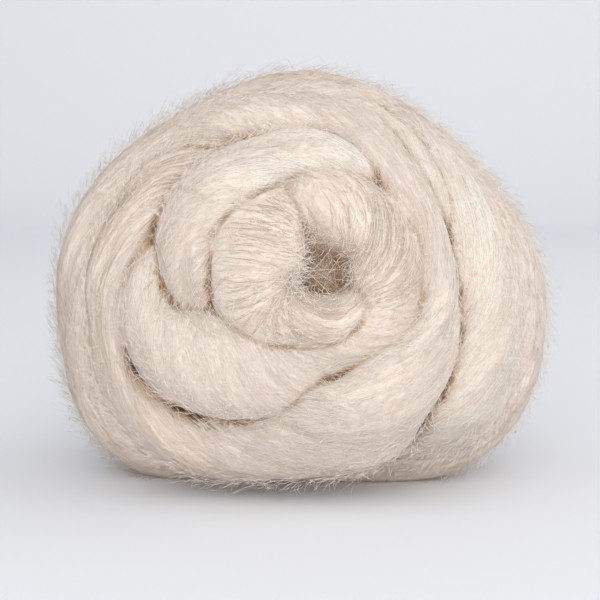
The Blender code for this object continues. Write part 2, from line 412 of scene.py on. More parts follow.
def back_middle():
    """Sections of the length that shows in the middle of the back."""
    sections = []
    for step in range(MIDDLE_STEPS + 1):
        x, z = Vector(MIDDLE_FROM).lerp(Vector(MIDDLE_TO), step / MIDDLE_STEPS)
        reach = math.hypot(x, z - WIDEST_HEIGHT)
        share = reach / (CORE_SCALE * rim_reach(math.atan2(x, z - WIDEST_HEIGHT)))
        surface = CORE_SCALE * HALF_DEPTH * math.sqrt(1.0 - share * share)
        centre = Vector((x, surface + MIDDLE_STANDS - MIDDLE_HALF_THICKNESS, z))
        sections.append(Section(centre, MIDDLE_HALF_WIDTH, MIDDLE_HALF_THICKNESS, 0.0))
    return sections


def unit(vectors):
    """The same directions with a length of one."""
    return vectors / np.linalg.norm(vectors, axis=-1, keepdims=True)


def summed(rates, run):
    """Running total of a rate along a pass."""
    steps = 0.5 * (rates[1:] + rates[:-1]) * np.diff(run)
    return np.concatenate([[0.0], np.cumsum(steps)])


def swept(number, sections, step, slant=None):
    """Even stations along a pass of the roving, each with its frame, its size and the slant of its fibres."""
    centres = np.array([section.centre for section in sections])
    sizes = np.array([section[1:] for section in sections])
    measured = np.concatenate([[0.0], np.cumsum(np.linalg.norm(np.diff(centres, axis=0), axis=1))])
    run = np.linspace(0.0, measured[-1], round(measured[-1] / step) + 1)
    centre = np.stack([np.interp(run, measured, column) for column in centres.T], axis=1)
    half_width, thickness, grain = (np.interp(run, measured, column) for column in sizes.T)
    along = unit(np.gradient(centre, axis=0))
    across = unit(np.cross(along, [outward(point) for point in centre]))
    out = np.cross(across, along)
    heading = np.unwrap(np.arctan2(along[:, 2], along[:, 0]))
    slants = heading - np.radians(grain) if slant is None else np.full(len(run), math.radians(slant))
    drift = summed(np.sin(slants), run)
    advance = summed(np.cos(slants), run)
    return Sweep(number, run, centre, across, out, half_width, thickness, slants, drift, advance)


def combed_noise(across, along, sweep, kind):
    """Smooth noise from -1 to 1, drawn out along the fibres of a pass, at places across and along them."""
    part = NOISE_APART * (sweep.number + kind.part)
    places = zip(np.ravel(across) / kind.width, np.ravel(along) / kind.length)
    values = [noise.noise((x, y, part)) for x, y in places]
    return np.array(values).reshape(np.shape(across))


def at_run(sweep, run, *columns):
    """Values of some columns of a pass at a run along it."""
    return [np.interp(run, sweep.run, column) for column in columns]


def girth(sweep, run):
    """Mean of the half width and the half thickness, by which a distance aside turns into an angle."""
    return 0.5 * sum(at_run(sweep, run, sweep.half_width, sweep.half_thickness))


def on_surface(sweep, run, aside, raised):
    """Points of a pass at a run along it and a distance aside of its crest, with their outward directions and
    their places across and along the fibres."""
    found = np.stack(at_run(sweep, run, *sweep.centre.T, *sweep.across.T, *sweep.out.T), axis=-1)
    centre, across, out = found[..., 0:3], found[..., 3:6], found[..., 6:9]
    width, thickness, slant, drift, advance = at_run(
        sweep, run, sweep.half_width, sweep.half_thickness, sweep.slant, sweep.drift, sweep.advance,
    )
    turned = aside / girth(sweep, run)
    angle = 0.5 * math.pi - turned
    lobe = 1.0 + TWIST_LOBE_DEPTH * np.cos(TWIST_LOBES * angle + math.tau * run / TWIST_LENGTH)
    side = np.cos(angle)[..., None]
    top = np.sin(angle)[..., None]
    normal = unit(across * side / width[..., None] + out * top / thickness[..., None])
    across_fibres = aside * np.cos(slant) - drift
    along_fibres = aside * np.sin(slant) + advance
    relief = LOCK_RELIEF * combed_noise(across_fibres, along_fibres, sweep, RELIEF_LOCKS)
    relief += TUFT_RELIEF * combed_noise(across_fibres, along_fibres, sweep, RELIEF_TUFTS)
    relief *= np.clip(RELIEF_ENDS * (1.0 - np.abs(turned) / math.pi), 0.0, 1.0)
    place = centre + across * side * (width * lobe)[..., None] + out * top * (thickness * lobe)[..., None]
    return place + normal * (relief + raised)[..., None], normal, across_fibres, along_fibres


def add_pass(bm, combing, sweep):
    """One pass of the roving: a sheet of its length, rolled round its path and closed along the underside."""
    made = bmesh.ops.create_grid(bm, x_segments=RING_POINTS, y_segments=len(sweep.run) - 1, size=1.0)
    sheet = made["verts"]
    turned, share = np.array([corner.co[:2] for corner in sheet]).T
    run = 0.5 * (1.0 + share) * sweep.run[-1]
    aside = math.pi * turned * girth(sweep, run)
    places, _, across, along = on_surface(sweep, run, aside, 0.0)
    for corner, place, *combed in zip(sheet, places * MM, across, along):
        corner.co = place
        corner[combing] = (*combed, sweep.number)
    bmesh.ops.remove_doubles(bm, verts=sheet, dist=WELD)
    rims = [edge for edge in bm.edges if edge.is_boundary]
    bmesh.ops.edgeloop_fill(bm, edges=rims)


def add_core(bm):
    """The wool under the turns, with the dent behind the hollow."""
    made = bmesh.ops.create_uvsphere(bm, u_segments=CORE_SEGMENTS, v_segments=CORE_SEGMENTS // 2, radius=1.0)
    for corner in made["verts"]:
        clock = math.atan2(corner.co.x, corner.co.z)
        reach = math.hypot(corner.co.x, corner.co.z) * rim_reach(clock) * CORE_SCALE
        x = reach * math.sin(clock)
        z = WIDEST_HEIGHT + reach * math.cos(clock)
        y = corner.co.y * HALF_DEPTH * CORE_SCALE
        if y < 0.0:
            aside = math.hypot(x - HOLLOW_X, z - HOLLOW_Z)
            y += HOLLOW_DEPTH * math.exp(-((aside / HOLLOW_HALF_WIDTH) ** 2))
        corner.co = Vector((x, y, z)) * MM


def press_on_foot(bm):
    """Flatten what reaches below the foot, as the ball's weight does."""
    for corner in bm.verts:
        corner.co.z = max(corner.co.z, 0.0)


def face_rank(face):
    """A face's place in an order that is the same in every run, which that of welded faces isn't."""
    corners = [corner.index for corner in face.verts]
    return min(corners) * RANKS + max(corners)


def srgb(code):
    """Linear colour from an sRGB hex code."""
    parts = [int(code[start : start + 2], 16) / 255.0 for start in (1, 3, 5)]
    linear = [part / 12.92 if part <= 0.04045 else ((part + 0.055) / 1.055) ** 2.4 for part in parts]
    return (*linear, 1.0)


def add_material(name, **looks):
    """A material and its shader, whose own sockets are set by name."""
    material = bpy.data.materials.new(name)
    material.use_nodes = True
    shader = material.node_tree.nodes["Principled BSDF"]
    for socket, value in looks.items():
        shader.inputs[socket.replace("_", " ")].default_value = value
    return material, shader


def add_node(material, kind, settings, **links):
    """Add a node, set its properties and colour stops, and link or set its inputs by name."""
    node = material.node_tree.nodes.new(kind)
    for name, value in settings.items():
        if name == "stops":
            for place, code in value[2:]:
                node.color_ramp.elements.new(place)
            for stop, (place, code) in zip(node.color_ramp.elements, value):
                stop.position = place
                stop.color = srgb(code)
        else:
            setattr(node, name, value)
    for name, value in links.items():
        socket = node.inputs[name.replace("_", " ")]
        if isinstance(value, bpy.types.NodeSocket):
            material.node_tree.links.new(value, socket)
        else:
            socket.default_value = value
    return node


sweeps = [swept(number, face_turn(rows), RING_STEP) for number, rows in enumerate(FACE_TURNS)]
sweeps.append(swept(len(sweeps), back_turns(), BACK_RING_STEP, slant=BACK_SLANT))
sweeps.append(swept(len(sweeps), back_middle(), BACK_RING_STEP, slant=BACK_SLANT))

bm = bmesh.new()
combing = bm.verts.layers.float_vector.new("combing")
add_core(bm)
for sweep in sweeps:
    add_pass(bm, combing, sweep)
press_on_foot(bm)
bm.verts.index_update()
bm.faces.sort(key=face_rank)
bmesh.ops.recalc_face_normals(bm, faces=bm.faces[:])
turns_mesh = bpy.data.meshes.new("wound_turns")
bm.to_mesh(turns_mesh)
turns_tree = BVHTree.FromBMesh(bm)
turns_combing = [np.mean([corner[combing] for corner in face.verts], axis=0) for face in bm.faces]
bm.free()

wound_roving = add_object("wound_roving", turns_mesh)
felting = wound_roving.modifiers.new("felting", "REMESH")
felting.mode = "VOXEL"
felting.voxel_size = FELTING * MM
felting.use_smooth_shade = True
felted = wound_roving.evaluated_get(bpy.context.evaluated_depsgraph_get())
body_mesh = bpy.data.meshes.new_from_object(felted)
body_mesh.name = "wound_roving"
wound_roving.modifiers.clear()
wound_roving.data = body_mesh
bpy.data.meshes.remove(turns_mesh)


# How far its neighbours shut in each spot of the wool. It shapes the valleys, and it sets the brown painted
# shade put into the wool's colour in the creases. The lean is just under 1, so that no way that is tried is
# left without a length.
ENCLOSURE_RAYS = 16
ENCLOSURE_LEAN = 0.999
ENCLOSURE_REACH = 22.0 * MM
ENCLOSURE_START = 0.25 * MM
ENCLOSURE_SMOOTHED = 3

# Where turns meet: the jump in the combing that tells, and how much brown painted shade the crease gets,
# filled or open
COMBING_JUMP = 20.0
CREASE_SMOOTHED = 1
CREASE_FULL_PERCENT = 60.0
FILLED_SHARE = 0.4
CREASE_SHADE_FILLED = 0.08
CREASE_SHADE_OPEN = 0.7
GROOVE = 0.9
GROOVE_CLOSED = 0.1


def sphere_points(count):
    """Directions spread evenly all round."""
    index = np.arange(count) + 0.5
    up = 1.0 - 2.0 * index / count
    round_up = math.pi * (1.0 + math.sqrt(5.0)) * index
    flat = np.sqrt(1.0 - up * up)
    return np.stack([flat * np.cos(round_up), flat * np.sin(round_up), up], axis=1)


def smoothed(mesh, values, rounds):
    """Values of the vertices, evened out with those beside them."""
    ends = np.array([edge.vertices for edge in mesh.edges])
    beside = np.bincount(ends.ravel(), minlength=len(values))
    for _ in range(rounds):
        total = np.bincount(ends[:, 0], values[ends[:, 1]], len(values))
        total += np.bincount(ends[:, 1], values[ends[:, 0]], len(values))
        values = 0.5 * values + 0.5 * total / beside
    return values


def enclosure(tree, mesh):
    """Share of the light from all round that the wool near by keeps off each vertex."""
    spread = sphere_points(ENCLOSURE_RAYS)
    found = []
    for corner in mesh.vertices:
        start = corner.co + corner.normal * ENCLOSURE_START
        ways = unit(spread * ENCLOSURE_LEAN + np.array(corner.normal))
        met = sum(tree.ray_cast(start, way, ENCLOSURE_REACH)[0] is not None for way in ways)
        found.append(met / ENCLOSURE_RAYS)
    return smoothed(mesh, np.array(found), ENCLOSURE_SMOOTHED)


def crease_lines(mesh, combed_at):
    """How near each vertex is to a line where two turns meet: there the combing jumps."""
    ends = np.array([edge.vertices for edge in mesh.edges])
    jump = np.abs(combed_at[ends[:, 0]] - combed_at[ends[:, 1]])
    meet = ends[(jump[:, 2] > 0.5) | (jump[:, 1] > COMBING_JUMP)]
    found = np.zeros(len(mesh.vertices))
    found[meet.ravel()] = 1.0
    found = smoothed(mesh, found, CREASE_SMOOTHED)
    return np.clip(found / np.percentile(found[meet.ravel()], CREASE_FULL_PERCENT), 0.0, 1.0)


def surface_tree(mesh):
    """The mesh's surface, ready to be met by rays."""
    places = [corner.co for corner in mesh.vertices]
    return BVHTree.FromPolygons(places, [face.vertices for face in mesh.polygons])


def openness(mesh):
    """How open the crease is at each vertex: from the table on the face, and in patches elsewhere."""
    x, y, z = np.array([corner.co / MM for corner in mesh.vertices]).T
    found = np.zeros(len(x))
    for cleft in CLEFTS:
        apart = ((x - cleft.x) ** 2 + (z - cleft.z) ** 2) / cleft.reach**2
        found = np.maximum(found, cleft.openness * np.exp(-apart))
    patches = np.array([noise.noise(corner.co / (BACK_PATCH * MM)) for corner in mesh.vertices])
    ragged = np.array([noise.noise(corner.co / (RAGGED_PATCH * MM)) for corner in mesh.vertices])
    found = np.where(y < BACK_FROM, found, BACK_OPENNESS + BACK_VARIES * patches)
    return np.clip(found * (1.0 + RAGGEDNESS * ragged), 0.0, 1.0)


def soften_valleys(mesh, enclosed, crease, cleft):
    """Smooth the creases between turns into valleys, less so where they are open, each with a groove."""
    bm = bmesh.new()
    bm.from_mesh(mesh)
    pit = np.clip((enclosed - SHALLOWEST_PIT) / (1.0 - SHALLOWEST_PIT), 0.0, 1.0)
    rounds = (VALLEY_ROUNDS + (PIT_ROUNDS - VALLEY_ROUNDS) * pit) * (1.0 - cleft)
    rounds[enclosed < SHALLOWEST_VALLEY] = 0.0
    for done in range(PIT_ROUNDS):
        valleys = [corner for corner, wanted in zip(bm.verts, rounds) if wanted > done]
        bmesh.ops.smooth_vert(
            bm, verts=valleys, factor=0.5, use_axis_x=True, use_axis_y=True, use_axis_z=True,
        )
    bm.normal_update()
    groove = GROOVE * MM * crease * (GROOVE_CLOSED + (1.0 - GROOVE_CLOSED) * cleft)
    for corner, depth in zip(bm.verts, groove):
        corner.co -= corner.normal * depth
    press_on_foot(bm)
    bm.to_mesh(mesh)
    bm.free()


enclosed = enclosure(surface_tree(body_mesh), body_mesh)
combed_at = np.array([turns_combing[turns_tree.find_nearest(corner.co)[2]] for corner in body_mesh.vertices])
cleft = openness(body_mesh)
crease = crease_lines(body_mesh, combed_at)
soften_valleys(body_mesh, enclosed, crease, cleft)
# Painted shade: the enclosure, kept less where a crease is filled, plus the crease lines, darkest where a
# crease is open. It goes to the wool as the attribute enclosed.
enclosed = enclosed * (FILLED_SHARE + (1.0 - FILLED_SHARE) * cleft)
enclosed += crease * (CREASE_SHADE_FILLED + (CREASE_SHADE_OPEN - CREASE_SHADE_FILLED) * cleft)
enclosed = np.clip(enclosed, 0.0, 1.0)
body_mesh.attributes.new("combing", "FLOAT_VECTOR", "POINT").data.foreach_set("vector", combed_at.ravel())
body_mesh.attributes.new("enclosed", "FLOAT", "POINT").data.foreach_set("value", enclosed)
low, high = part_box("roving")
corners = np.array([corner.co for corner in body_mesh.vertices])
shift = 0.5 * (low + high) - Vector(0.5 * (corners.min(axis=0) + corners.max(axis=0)))
shift.z = 0.0
body_mesh.transform(Matrix.Translation(shift))
tree = surface_tree(body_mesh)
face_corners = [list(face.vertices) for face in body_mesh.polygons]
corner_normals = np.array([corner.normal for corner in body_mesh.vertices])
face_painted_shade, face_cleft, face_normals = (
    [values[corners].mean(axis=0) for corners in face_corners] for values in (enclosed, cleft, corner_normals)
)

# Combed wool top of an undyed fleece: matt and soft, cream where the light falls on it, and given brown
# painted shade in the creases, standing in for the light that reaches the eye there only through other
# fibres. Its streaks are locks 1.6 mm wide and 40 mm long, and strands 0.5 mm wide and 18 mm long. They are
# up to 0.3 mm deep and differ from pass to pass.
STREAK_SIZES = ((1.6, 40.0), (0.5, 18.0))
STREAK_DEPTH = 0.3 * MM
PASSES_APART = 5.0
WOOL_TINTS = ((0.36, "#d3c0ae"), (0.5, "#dacbbf"), (0.62, "#e6d9ca"))
WOOL_PAINTED_SHADES = ((0.15, "#ffffff"), (0.4, "#dcc8b4"), (0.75, "#7f5f45"))

wool, shader = add_material(
    "combed_wool", Roughness=0.9, Specular_IOR_Level=0.2, Sheen_Weight=0.25, Sheen_Roughness=0.5,
)
combed = add_node(wool, "ShaderNodeAttribute", {"attribute_name": "combing"})
shut_in = add_node(wool, "ShaderNodeAttribute", {"attribute_name": "enclosed"})
streaks = add_node(wool, "ShaderNodeMath", {"operation": "ADD"})
for socket, (width, length) in zip(streaks.inputs, STREAK_SIZES):
    scale = (1.0 / width, 1.0 / length, PASSES_APART)
    spread = add_node(wool, "ShaderNodeMapping", {}, Vector=combed.outputs["Vector"], Scale=scale)
    drawn = add_node(wool, "ShaderNodeTexNoise", {}, Vector=spread.outputs["Vector"], Scale=1.0, Detail=2.0)
    wool.node_tree.links.new(drawn.outputs["Fac"], socket)
half = add_node(wool, "ShaderNodeMath", {"operation": "MULTIPLY"})
wool.node_tree.links.new(streaks.outputs[0], half.inputs[0])
half.inputs[1].default_value = 0.5
tint = add_node(wool, "ShaderNodeValToRGB", {"stops": WOOL_TINTS}, Fac=half.outputs[0])
# Painted shade: the wool turns brown where it is enclosed and along the creases
depth = add_node(wool, "ShaderNodeValToRGB", {"stops": WOOL_PAINTED_SHADES}, Fac=shut_in.outputs["Fac"])
shaded = add_node(
    wool, "ShaderNodeMixRGB", {"blend_type": "MULTIPLY"},
    Fac=1.0, Color1=tint.outputs["Color"], Color2=depth.outputs["Color"],
)
wool.node_tree.links.new(shaded.outputs["Color"], shader.inputs["Base Color"])
bump = add_node(wool, "ShaderNodeBump", {}, Strength=0.5, Distance=STREAK_DEPTH, Height=streaks.outputs[0])
wool.node_tree.links.new(bump.outputs["Normal"], shader.inputs["Normal"])
body_mesh.materials.append(wool)

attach(wound_roving, "root")
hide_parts("roving")


# The combed fibres: single wool fibres, 60 to 90 mm long in the fleece, of which a stretch shows before each
# dives under its neighbours. They lie along the slant of the twist. Real ones are 0.025 mm thick; these are
# drawn 0.13 mm thick, so that they show and cover the roving without being millions.
FIBRE_RADIUS = 0.065
FIBRE_STATIONS = 6
FIBRE_SIDES = 3
FIBRE_TAPER = 0.4
COMBED_THICKNESS = (0.7, 1.2)
FACE_FIBRES = 12000
BACK_FIBRES = 4600
MIDDLE_FIBRES = 500
DRAWN_SPARE = 2.4
DEEPEST_SHOWN = 0.9
FEWEST_SHOWN = 3
LENGTH_SHOWN = (14.0, 38.0)
SIDE_SHOWN = 1.5
WANDER = math.radians(6.0)
CRIMP = 0.12
RAISED = (0.1, 0.35)
END_DIVE = 0.35
LAID_FROM = 8.0 * MM
FELTED_OVER = 1.0 * MM
CLEFT_OVER = 0.2 * MM
SEED = 12

# What neighbouring fibres share: how they wander with their lock, and how they are raised and tinted
LOCK_WAYS = Combed(9.0, 40.0, 20)
PATCHES = Combed(14.0, 60.0, 40)
LOCKS = Combed(2.6, 45.0, 60)
CLUMPS = Combed(1.1, 26.0, 80)
LOCK_WANDER = math.radians(16.0)
CLUMP_RELIEF = 0.14
PATCH_TINT = 0.35
LOCK_TINT = 0.2
CLUMP_TINT = 0.18
FIBRE_TINT = 0.12

# The passes of the roving, in the order that they are swept, and their tint where each starts and ends. The
# tints are partly the roving's own tone and partly painted shade and painted light: higher ones darken turns
# that the light falls on fully, lower ones lighten turns that lie in shade.
Pass = namedtuple("Pass", "name start_tint end_tint")

PASSES = (
    Pass("inner_turn", 0.95, 0.95),
    Pass("second_turn", 0.95, 0.15),
    Pass("left_band", 1.0, -0.3),
    Pass("third_turn", 0.2, 0.75),
    Pass("top_strand", 0.4, 0.4),
    Pass("right_turn", 0.3, 0.0),
    Pass("back_turns", 0.6, 0.4),
    Pass("back_middle", 0.6, 0.6),
)

# A fibre's shade is a place in its map: the first axis runs from pale to oat, the second from no painted
# shade in the open to brown painted shade in the creases. It changes a little round and along a fibre, so
# that no face is a mere line in the map.
SHADE_MARGIN = 0.02
SHADE_WIDTH = 0.008
SHADE_LENGTH = 0.02
SHADE_TURN = 0.5

# Fibres are too thin to be shaded one by one: they take the wool's own shading, and stray ones lean on the
# light
SOFTNESS = 0.82
LIT_WAY = np.array((0.5, -0.5, 0.7))

rng = np.random.default_rng(SEED)


def in_place(places):
    """Millimetres of the plain form to metres of the row frame, above the floor."""
    placed = places * MM + np.array(shift)
    placed[..., 2] = np.maximum(placed[..., 2], FIBRE_RADIUS * MM)
    return placed


def combed_paths(sweep, drawn, stations):
    """Paths along the slant of a pass, with the wool's outward directions, their tints, the painted shade at
    each place, and which places are covered."""
    spread = summed(sweep.half_width, sweep.run)
    run = np.interp(rng.uniform(0.0, spread[-1], drawn), spread, sweep.run)
    aside = rng.uniform(-SIDE_SHOWN, SIDE_SHOWN, drawn) * girth(sweep, run)
    step = rng.uniform(*LENGTH_SHOWN, drawn) / (FIBRE_STATIONS - 1)
    wander = rng.normal(0.0, WANDER, drawn) + LOCK_WANDER * combed_noise(aside, run, sweep, LOCK_WAYS)
    runs, asides = [], []
    for _ in range(stations):
        runs.append(run)
        asides.append(aside + rng.normal(0.0, CRIMP, drawn))
        slant = np.interp(run, sweep.run, sweep.slant) + wander
        run = run + np.cos(slant) * step
        aside = aside + np.sin(slant) * step
    runs, asides = np.stack(runs, axis=1), np.stack(asides, axis=1)
    arch = np.sin(np.linspace(0.0, math.pi, stations))
    places, normals, across, along = on_surface(sweep, runs, asides, 0.0)
    middle = stations // 2
    across, along = across[:, middle], along[:, middle]
    clump = combed_noise(across, along, sweep, CLUMPS)
    # The pass's part of the tint carries painted shade and painted light as well as the roving's own tone
    _, first, last = PASSES[sweep.number]
    tint = first + (last - first) * runs[:, middle] / sweep.run[-1] + rng.normal(0.0, FIBRE_TINT, drawn)
    tint -= CLUMP_TINT * clump
    tint += PATCH_TINT * combed_noise(across, along, sweep, PATCHES)
    tint += LOCK_TINT * combed_noise(across, along, sweep, LOCKS)
    crest = rng.uniform(*RAISED, drawn) + CLUMP_RELIEF * clump
    raised = arch * crest[:, None] - END_DIVE * (1.0 - arch)
    inside = (runs.min(axis=1) > 0.0) & (runs.max(axis=1) < sweep.run[-1])
    # depth here is the painted shade of the wool under each place
    places, normals, depth, covered = lay(in_place(places[inside]), normals[inside], raised[inside] * MM)
    return places, normals, tint[inside], depth, covered


def lay(places, normals, raised):
    """Set fibres down on the felted wool, but for what runs on under a neighbour. Also gives the wool's
    outward directions there, its painted shade, and which places are covered."""
    shape = places.shape[:-1]
    laid, faced, depth, covered = [], [], [], []
    for place, normal, height in zip(places.reshape(-1, 3), normals.reshape(-1, 3), raised.reshape(-1)):
        met, _, face, _ = tree.ray_cast(Vector(place + normal * LAID_FROM), Vector(-normal), 2.0 * LAID_FROM)
        spanned = 0.0 if met is None else FELTED_OVER + (CLEFT_OVER - FELTED_OVER) * face_cleft[face]
        under = met is None or (np.array(met) - place) @ normal > spanned
        laid.append(place if under else np.array(met) + normal * height)
        faced.append(normal if met is None else face_normals[face])
        depth.append(1.0 if met is None else face_painted_shade[face])
        covered.append(under)
    laid, faced = np.array(laid).reshape(*shape, 3), np.array(faced).reshape(*shape, 3)
    laid[..., 2] = np.maximum(laid[..., 2], FIBRE_RADIUS * MM)
    return laid, unit(faced), np.array(depth).reshape(shape), np.array(covered).reshape(shape)


def shut_in_at(places, fade):
    """Painted shade for fibres: how enclosed the wool is next to each place, and less so the further a fibre
    stands off it.
    """
    found = []
    for place in places.reshape(-1, 3):
        _, _, face, apart = tree.find_nearest(place)
        found.append(face_painted_shade[face] * math.exp(-apart / fade))
    return np.array(found).reshape(places.shape[:-1])


def fibre_form(stations):
    """One closed fibre with pointed ends: each vertex's station and angle round the fibre, and the faces."""
    bm = bmesh.new()
    bmesh.ops.create_uvsphere(bm, u_segments=FIBRE_SIDES, v_segments=stations - 1, radius=1.0)
    bm.verts.ensure_lookup_table()
    rise = np.array([math.asin(max(-1.0, min(1.0, corner.co.z))) for corner in bm.verts])
    station = np.rint((rise / math.pi + 0.5) * (stations - 1)).astype(int)
    angle = np.array([math.atan2(corner.co.y, corner.co.x) for corner in bm.verts])
    faces = [[corner.index for corner in face.verts] for face in bm.faces]
    bm.free()
    return station, angle, faces


def add_fibres(name, paths, normals, radii, tints, painted_shades, lit=0.0):
    """Many fibres joined in one piece: the closed form drawn out along each path, with its shade in a map.
    Lit says how far their shading leans on the light."""
    stations = paths.shape[1]
    station, angle, faces = fibre_form(stations)
    along = unit(np.gradient(paths, axis=1))
    side = unit(np.cross(normals, along))
    up = np.cross(along, side)
    profile = np.sin(np.linspace(0.0, math.pi, stations)) ** FIBRE_TAPER
    thick = (radii[:, None] * profile * MM)[:, station, None]
    round_it = np.cos(angle)[:, None] * side[:, station] + np.sin(angle)[:, None] * up[:, station]
    places = paths[:, station] + thick * round_it
    mesh = bpy.data.meshes.new(name)
    offsets = range(0, places.shape[0] * len(station), len(station))
    joined = [[corner + offset for corner in face] for offset in offsets for face in faces]
    mesh.from_pydata(places.reshape(-1, 3), [], joined)
    first = np.clip(tints, SHADE_MARGIN, 1.0 - SHADE_MARGIN)[:, None]
    first = first + SHADE_WIDTH * np.cos(angle + SHADE_TURN)
    second = np.clip(painted_shades, SHADE_MARGIN, 1.0 - 2.0 * SHADE_MARGIN)[:, station]
    second = second + SHADE_LENGTH * station / (stations - 1)
    corners = np.empty(len(mesh.loops), dtype=np.int32)
    mesh.loops.foreach_get("vertex_index", corners)
    shade = np.stack([first.ravel(), second.ravel()], axis=1)[corners]
    mesh.uv_layers.new(name=SHADE_MAP).uv.foreach_set("vector", shade.ravel().astype(np.float32))
    mesh.shade_smooth()
    soft = unit(SOFTNESS * normals[:, station] + (1.0 - SOFTNESS) * round_it + lit * LIT_WAY)
    mesh.normals_split_custom_set_from_vertices(soft.reshape(-1, 3))
    mesh.materials.append(fibre_wool)
    piece = add_object(name, mesh)
    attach(piece, "root")


# Single wool fibres: matt, with a soft sheen from their scales. Each has a tone between pale and oat, partly
# its own and partly the painted shade and light of its pass, and brown painted shade makes it tan and brown
# where it runs down into a crease.
SHADE_MAP = "OFBake"
TINTS = ((0.0, "#f8f1e9"), (0.25, "#f4e6d2"), (0.5, "#e6d9d3"), (0.75, "#dbc5ab"), (1.0, "#bba696"))
FIBRE_PAINTED_SHADES = ((0.15, "#ffffff"), (0.3, "#f4eae0"), (0.45, "#dfcab6"), (0.65, "#ac8b6e"), (0.9, "#6f4d36"))

fibre_wool, shader = add_material(
    "single_wool_fibres", Roughness=0.6, Specular_IOR_Level=0.3, Sheen_Weight=0.15, Sheen_Roughness=0.4,
    Sheen_Tint=srgb("#f2dcc6"),
)
shade = add_node(fibre_wool, "ShaderNodeUVMap", {"uv_map": SHADE_MAP})
axes = add_node(fibre_wool, "ShaderNodeSeparateXYZ", {}, Vector=shade.outputs["UV"])
tinted = add_node(fibre_wool, "ShaderNodeValToRGB", {"stops": TINTS}, Fac=axes.outputs["X"])
painted_shade_ramp = add_node(fibre_wool, "ShaderNodeValToRGB", {"stops": FIBRE_PAINTED_SHADES}, Fac=axes.outputs["Y"])
mixed = add_node(
    fibre_wool, "ShaderNodeMixRGB", {"blend_type": "MULTIPLY"},
    Fac=1.0, Color1=tinted.outputs["Color"], Color2=painted_shade_ramp.outputs["Color"],
)
fibre_wool.node_tree.links.new(mixed.outputs["Color"], shader.inputs["Base Color"])

area = [summed(sweep.half_width, sweep.run)[-1] for sweep in sweeps]
counts = [round(FACE_FIBRES * share / sum(area[:-2])) for share in area[:-2]] + [BACK_FIBRES, MIDDLE_FIBRES]
for (name, *_), sweep, count in zip(PASSES, sweeps, counts):
    paths, normals, tints, painted_shades, covered = combed_paths(sweep, round(DRAWN_SPARE * count), FIBRE_STATIONS)
    hidden = covered[:, 1] & covered[:, -2] | (covered.sum(axis=1) > FIBRE_STATIONS - FEWEST_SHOWN)
    shown = np.flatnonzero(~hidden & (painted_shades[:, 1:-1].mean(axis=1) < DEEPEST_SHOWN))[:count]
    paths, normals, tints, painted_shades = paths[shown], normals[shown], tints[shown], painted_shades[shown]
    radii = FIBRE_RADIUS * rng.uniform(*COMBED_THICKNESS, len(paths))
    add_fibres(f"{name}_fibres", paths, normals, radii, tints, painted_shades)


# The stray fibres: those that the combing left across the grain. Some bridge the creases from turn to turn,
# and short ones stand a few millimetres off the wool as a soft halo.
STRAY_TURN = math.radians(20.0)
CREASE_TURN = math.radians(22.0)
HALO_TURN = math.radians(45.0)
FACING_FRONT = -0.75
STRAY_FADE = 2.0 * MM
LEAST_HEIGHT = 0.15 * MM
PROBE_HEIGHT = 15.0 * MM
PROBE_REACH = 60.0 * MM


def stray_starts(kind):
    """Starts and headings of stray fibres, whose ways turn from the grain."""
    starts, ways = [], []
    for sweep, share in zip(sweeps, area):
        drawn = round(kind.spare * kind.count * share / sum(area))
        paths, normals, _, painted_shades, covered = combed_paths(sweep, drawn, 2)
        fit = ~covered[:, 0] & (painted_shades[:, 0] >= kind.least_shut_in) & (painted_shades[:, 0] < 1.0)
        fit &= (normals[:, 0, 1] > FACING_FRONT) | (rng.uniform(0.0, 1.0, len(fit)) < kind.on_face)
        paths, normals = paths[fit], normals[fit]
        way = unit(paths[:, 1] - paths[:, 0])
        angle = rng.normal(0.0, kind.turn, len(paths))[:, None]
        ways.append(way * np.cos(angle) + np.cross(normals[:, 0], way) * np.sin(angle))
        starts.append(paths[:, 0])
    starts, ways = np.concatenate(starts), np.concatenate(ways)
    chosen = rng.permutation(len(starts))[: kind.count]
    starts = starts[chosen]
    outs = np.array([outward((Vector(start) - shift) / MM) for start in starts])
    return starts + outs * rng.uniform(*kind.lift, len(starts))[:, None] * MM, ways[chosen]


def stray_paths(kind, starts, ways):
    """Paths that keep to the ball's plain form from their starts, and settle on the wool or rise from it."""
    found, outs = [], []
    for start, way in zip(starts, ways):
        point, way = Vector(start), Vector(way)
        step = rng.uniform(*kind.lengths) * MM / (kind.stations - 1)
        sinking = rng.uniform(*kind.settle)
        bend = rng.normal(0.0, kind.bending)
        for _ in range(kind.stations):
            out = outward((point - shift) / MM)
            met = tree.ray_cast(point + out * PROBE_HEIGHT, -out, PROBE_REACH)[0]
            if met is not None:
                height = max((point - met).dot(out) - sinking * step, LEAST_HEIGHT)
                point = met + out * height
            point.z = max(point.z, FIBRE_RADIUS * MM)
            found.append(point.copy())
            outs.append(out)
            way = way + out.cross(way) * bend
            way = (way - out * way.dot(out)).normalized()
            point = point + way * step
    shape = (-1, kind.stations, 3)
    return np.array(found).reshape(shape), np.array(outs).reshape(shape)


# A row gives how many fibres are kept and how many times more are drawn, their turn from the grain, how shut
# in and how high (mm) they start, and the share kept of those that face the front. Then come their stations,
# lengths (mm), bend at each station, settling on the wool, thickness, tints, and how lit they look.
Loose = namedtuple(
    "Loose",
    "name count spare turn least_shut_in lift on_face stations lengths bending settle thickness tints lit",
)

